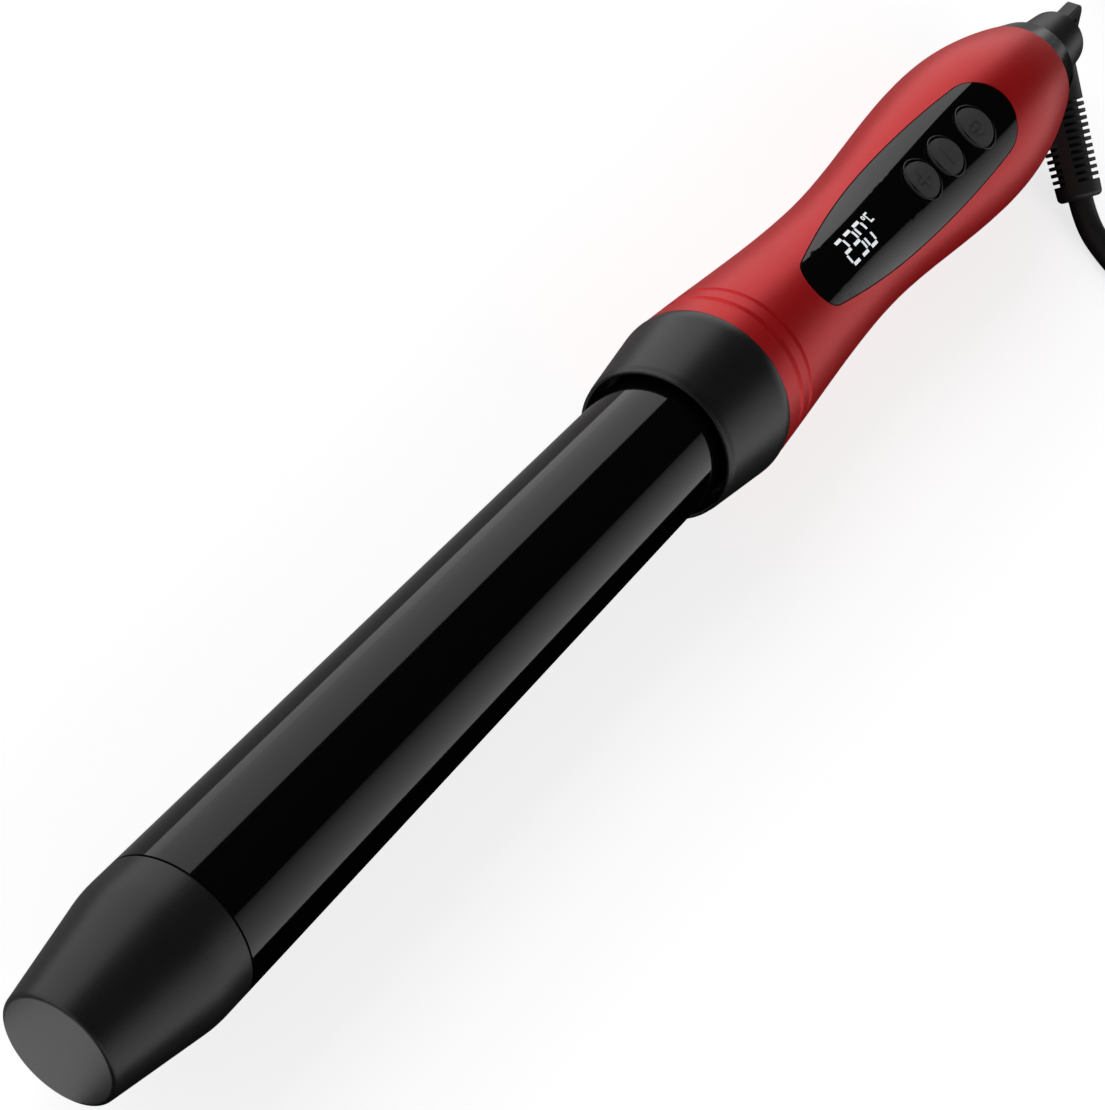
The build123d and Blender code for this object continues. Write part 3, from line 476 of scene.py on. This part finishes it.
# The same route as the solids take: each run's heading in plan, in degrees from +X, its
# length in millimetres, and the share of the rise or fall that it has made by its end.
FREE_RUNS = (
    (-105, 10.0, 0),
    (-90, 10.0, 0),
    (-75, 10.0, 0),
    (-60, 10.0, 0),
    (-45, 10.0, 0),
    (-30, 10.0, 0),
    (-15, 10.5, 0),
    (-3, 18.0, 0.1),
    (4, 24.0, 0.4),
    (0, 25.0, 0.9),
    (0, 25.0, 1),
)
TAIL_RUNS = (
    (90, 10.0, 0),
    (105, 10.0, 0.02),
    (120, 10.0, 0.11),
    (135, 10.0, 0.28),
    (150, 10.0, 0.48),
    (165, 10.0, 0.66),
    (180, 10.0, 0.76),
    (195, 10.0, 0.82),
    (210, 10.0, 0.88),
    (225, 10.0, 0.94),
    (240, 10.0, 1),
    (255, 8.0, 1),
)
CORD_START = Vector((191.22, -38.01, 6.25)) * MM
LANDING = Vector((188.82, -44.69, 3.55)) * MM
COIL_HEIGHT = 4.4 * MM
PLUG_HEIGHT = 22.5 * MM
TURNS_IN = 7
TURNS_OUT = 6
ARC_POINTS = 8


def route(start, runs, end_height):
    """The points after a start, one for each run."""
    points = []
    place = start
    for heading, length, share in runs:
        angle = math.radians(heading)
        place = place + Vector((math.cos(angle), math.sin(angle), 0)) * length * MM
        height = start.z + (end_height - start.z) * share
        points.append(Vector((place.x, place.y, height)))
    return points


def half_turn(centre, side, radius, rise, count=ARC_POINTS):
    """Control points round a turn's half; a rise climbs smoothly to the next layer."""
    reach = radius / math.cos(math.pi / ARC_POINTS / 2)
    points = []
    for i in range(count):
        share = (i + 0.5) / ARC_POINTS
        angle = math.pi * share
        height = rise * share * share * (3 - 2 * share)
        flat = Vector((-side * math.sin(angle), side * math.cos(angle), 0)) * reach
        points.append(centre + flat + Vector((0, 0, height)))
    return points


def coil_points(entry, cord):
    """The coil's turns: in over the floor, up a layer, out again and on to the strap."""
    pitch = 2 * cord.radius + cord.coil_gap
    step = pitch / 2
    radius = cord.coil_radius
    centre = entry + Vector((2 * cord.radius, radius, 0))
    side = -1
    points = []
    for turns, change in ((TURNS_IN, -step), (1, step), (TURNS_OUT, step)):
        rise = pitch if turns == 1 else 0.0
        for _ in range(turns):
            points += half_turn(centre, side, radius, rise)
            centre = centre + Vector((0, side * change, rise))
            radius += change
            side = -side
    points += half_turn(centre, side, radius, 0.0, ARC_POINTS // 2)
    return points, centre - Vector((side * radius, 0, 0))


def cord_curve(name, points, radius):
    """A round cord along a smooth spline with the given control points."""
    curve = bpy.data.curves.new(name, "CURVE")
    curve.dimensions = "3D"
    curve.bevel_depth = radius
    curve.bevel_resolution = 8
    curve.use_fill_caps = True
    curve.resolution_u = 8
    spline = curve.splines.new("NURBS")
    spline.points.add(len(points) - 1)
    for place, point in zip(points, spline.points):
        point.co = (*place, 1.0)
    spline.order_u = 3
    spline.use_endpoint_u = True
    piece = bpy.data.objects.new(name, curve)
    bpy.context.scene.collection.objects.link(piece)
    return piece


class WAND_OT_cord(bpy.types.Operator):
    """The turning head, its boot, the cord, its coil and its plug"""

    bl_idname = "wand.cord"
    bl_label = "Head and cord"

    def execute(self, context):
        finish = context.scene.wand_finish
        cord = context.scene.wand_cord
        dress(moulded_nylon(finish), "swivel_head")
        pvc = flexible_pvc(finish)
        dress(pvc, "cord_boot", "plug_body")
        dress(hook_and_loop(), "coil_tie")
        # Nickel-plated brass pins: warm silver with clear reflections.
        nickel = metal("nickel_plated_brass", "#CFCAC0", 0.2, 0.2 * MM)
        dress(nickel, *numbered("plug_pin"))
        free = [CORD_START, LANDING] + route(LANDING, FREE_RUNS, COIL_HEIGHT)
        turns, coil_end = coil_points(free[-1], cord)
        tail = route(coil_end, TAIL_RUNS, PLUG_HEIGHT)
        points = free + turns + [coil_end] + tail
        flex = cord_curve("mains_cord", points, cord.radius)
        flex.data.materials.append(pvc)
        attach(flex, "swivel")
        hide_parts("cord", "cord_coil", "cord_tail")
        return {"FINISHED"}


# ---- Studio ------------------------------------------------------------------------

FLOOR_REACH = 60.0
# The cards stand beside the wand, from well before its tip to well past its handle.
CARD_NEAR = -0.9
CARD_FAR = 1.3
CARD_SIDE = 0.30
FLAG_LIFT = 1.0 * MM
# Each fill lamp: its name, place, size and share of the fill's brightness.
FILLS = (
    ("overhead_fill", (0, 0, 1.5), (2.0, 2.0), 0.3),
    ("left_fill", (0.0, 0.65, 0.5), (1.4, 0.6), 5.0),
    ("right_fill", (0.0, -0.65, 0.5), (1.4, 0.6), 1.6),
    ("front_fill", (-0.8, 0.15, 0.5), (0.8, 0.6), 1.6),
)
FILL_TARGET = (0, 0, 0.02)
CAMERA_PLACE = Vector((-416.97, 20.9, 385.14)) * MM
CAMERA_RIGHT = Vector((0.5075, -0.6833, 0.5248))
CAMERA_UP = Vector((0.5152, 0.7289, 0.4507))
CAMERA_SHIFT = -0.0045


def softbox(name, centre, toward, size, strength):
    """A rectangular area lamp whose face has about the given radiance."""
    lamp = bpy.data.lights.new(name, "AREA")
    lamp.shape = "RECTANGLE"
    lamp.size, lamp.size_y = size
    lamp.energy = strength * size[0] * size[1] * math.pi
    holder = bpy.data.objects.new(name, lamp)
    holder.location = centre
    holder.rotation_euler = (Vector(toward) - Vector(centre)).to_track_quat("-Z", "Y").to_euler()
    holder.visible_camera = False
    bpy.context.scene.collection.objects.link(holder)
    return holder


def flat_piece(name, corners):
    """A single four-cornered face of the studio, linked to the scene."""
    mesh = bpy.data.meshes.new(name)
    mesh.from_pydata(corners, [], [(0, 1, 2, 3)])
    piece = bpy.data.objects.new(name, mesh)
    bpy.context.scene.collection.objects.link(piece)
    return piece


def card(name, corners):
    """A flat studio card that lights or shades reflections and that the camera doesn't see."""
    piece = flat_piece(name, corners)
    piece.visible_camera = False
    piece.visible_shadow = False
    return piece


def glow_card(name, y, low, high, at_low, at_high, strength):
    """An upright softbox along the wand, whose glow changes evenly from foot to top."""
    piece = card(
        name,
        [(CARD_NEAR, y, low), (CARD_FAR, y, low), (CARD_FAR, y, high), (CARD_NEAR, y, high)],
    )
    material = bpy.data.materials.new(name)
    material.use_nodes = True
    tree = material.node_tree
    tree.nodes.clear()
    place = add_node(tree, "ShaderNodeTexCoord").outputs["Generated"]
    height = add_node(tree, "ShaderNodeSeparateXYZ", {"Vector": place}).outputs["Z"]
    level = add_node(
        tree,
        "ShaderNodeMapRange",
        {"Value": height, "To Min": at_low * strength, "To Max": at_high * strength},
    )
    light = add_node(tree, "ShaderNodeEmission", {"Strength": level.outputs["Result"]})
    add_node(tree, "ShaderNodeOutputMaterial", {"Surface": light.outputs["Emission"]})
    piece.data.materials.append(material)


def flag(name, low, high, colour):
    """A dark card on the floor beside the wand, seen only in its glossy surfaces."""
    piece = card(
        name,
        [
            (CARD_NEAR, low, FLAG_LIFT),
            (CARD_FAR, low, FLAG_LIFT),
            (CARD_FAR, high, FLAG_LIFT),
            (CARD_NEAR, high, FLAG_LIFT),
        ],
    )
    piece.visible_diffuse = False
    material, _, shader = plain_material(name, colour, 1.0)
    shader.inputs["Specular IOR Level"].default_value = 0.0
    piece.data.materials.append(material)


def pale_floor(studio):
    """A wide floor that shows its own white, dims under the object and lights nothing."""
    far = FLOOR_REACH
    floor = flat_piece("floor", [(-far, -far, 0), (far, -far, 0), (far, far, 0), (-far, far, 0)])
    # Matte painted board: even and pale, and it takes the object's shadow.
    material, tree, shader = plain_material("matte_painted_board", studio.board, 0.9)
    shader.inputs["Specular IOR Level"].default_value = 0.0
    path = add_node(tree, "ShaderNodeLightPath")
    seen = path.outputs["Is Camera Ray"]
    for ray in ("Is Glossy Ray", "Is Transmission Ray"):
        either = add_node(
            tree, "ShaderNodeMath", {0: seen, 1: path.outputs[ray]}, operation="MAXIMUM"
        )
        seen = either.outputs["Value"]
    glow = add_node(
        tree, "ShaderNodeMath", {0: seen, 1: studio.backdrop}, operation="MULTIPLY"
    )
    shader.inputs["Emission Color"].default_value = linear(studio.floor)
    tree.links.new(glow.outputs["Value"], shader.inputs["Emission Strength"])
    floor.data.materials.append(material)


def studio_lights(studio):
    """Softboxes and flags for the glossy surfaces, soft fills for the rest, a dark room."""
    glow_card("softbox_right", -CARD_SIDE, 0.0, 0.46, 1.0, 0.18, studio.softbox)
    glow_card("softbox_left", CARD_SIDE, 0.0, 0.365, 0.95, 0.95, studio.softbox)
    flag("flag_right", -0.25, -0.01, "#000000")
    flag("flag_left", 0.01, 0.085, "#B0B0B0")
    for name, place, size, share in FILLS:
        lamp = softbox(name, place, FILL_TARGET, size, share * studio.fill)
        lamp.visible_glossy = False
    world = bpy.data.worlds.new("studio")
    world.use_nodes = True
    world.node_tree.nodes["Background"].inputs["Color"].default_value = linear("#1A1A1A")
    bpy.context.scene.world = world


def studio_camera(studio):
    """The camera, from its place and the directions of its right and upper sides."""
    lens = bpy.data.cameras.new("camera")
    lens.lens = studio.lens
    lens.sensor_width = 36.0
    lens.shift_y = CAMERA_SHIFT
    lens.clip_start = 0.01
    camera = bpy.data.objects.new("camera", lens)
    right = CAMERA_RIGHT.normalized()
    back = right.cross(CAMERA_UP.normalized()).normalized()
    rotation = Matrix((right, back.cross(right), back)).transposed().to_4x4()
    camera.matrix_world = Matrix.Translation(CAMERA_PLACE) @ rotation
    bpy.context.scene.collection.objects.link(camera)
    bpy.context.scene.camera = camera


class WAND_OT_stage(bpy.types.Operator):
    """Floor, soft studio light and camera"""

    bl_idname = "wand.stage"
    bl_label = "Studio"

    def execute(self, context):
        studio = context.scene.wand_studio
        pale_floor(studio)
        studio_lights(studio)
        studio_camera(studio)
        context.scene.view_settings.view_transform = "Standard"
        return {"FINISHED"}


# ---- Add-on --------------------------------------------------------------------------


class WAND_PT_panel(bpy.types.Panel):
    bl_label = "Curling wand"
    bl_idname = "WAND_PT_panel"
    bl_space_type = "VIEW_3D"
    bl_region_type = "UI"
    bl_category = "Wand"

    def draw(self, context):
        for group in (
            context.scene.wand_finish,
            context.scene.wand_cord,
            context.scene.wand_studio,
        ):
            box = self.layout.box()
            for key in group.bl_rna.properties.keys():
                if key not in {"rna_type", "name"}:
                    box.prop(group, key)
        for operator in OPERATORS:
            self.layout.operator(operator.bl_idname)


GROUPS = (WandFinish, WandCord, WandStudio)
OPERATORS = (
    WAND_OT_barrel,
    WAND_OT_heater,
    WAND_OT_handle,
    WAND_OT_panel,
    WAND_OT_inside,
    WAND_OT_cord,
    WAND_OT_stage,
)


def register():
    for item in (*GROUPS, *OPERATORS, WAND_PT_panel):
        bpy.utils.register_class(item)
    bpy.types.Scene.wand_finish = bpy.props.PointerProperty(type=WandFinish)
    bpy.types.Scene.wand_cord = bpy.props.PointerProperty(type=WandCord)
    bpy.types.Scene.wand_studio = bpy.props.PointerProperty(type=WandStudio)


def unregister():
    del bpy.types.Scene.wand_studio
    del bpy.types.Scene.wand_cord
    del bpy.types.Scene.wand_finish
    for item in reversed((*GROUPS, *OPERATORS, WAND_PT_panel)):
        bpy.utils.unregister_class(item)


def main():
    register()
    bpy.ops.wand.barrel()
    bpy.ops.wand.heater()
    bpy.ops.wand.handle()
    bpy.ops.wand.panel()
    bpy.ops.wand.inside()
    bpy.ops.wand.cord()
    bpy.ops.wand.stage()


if __name__ == "__main__":
    main()
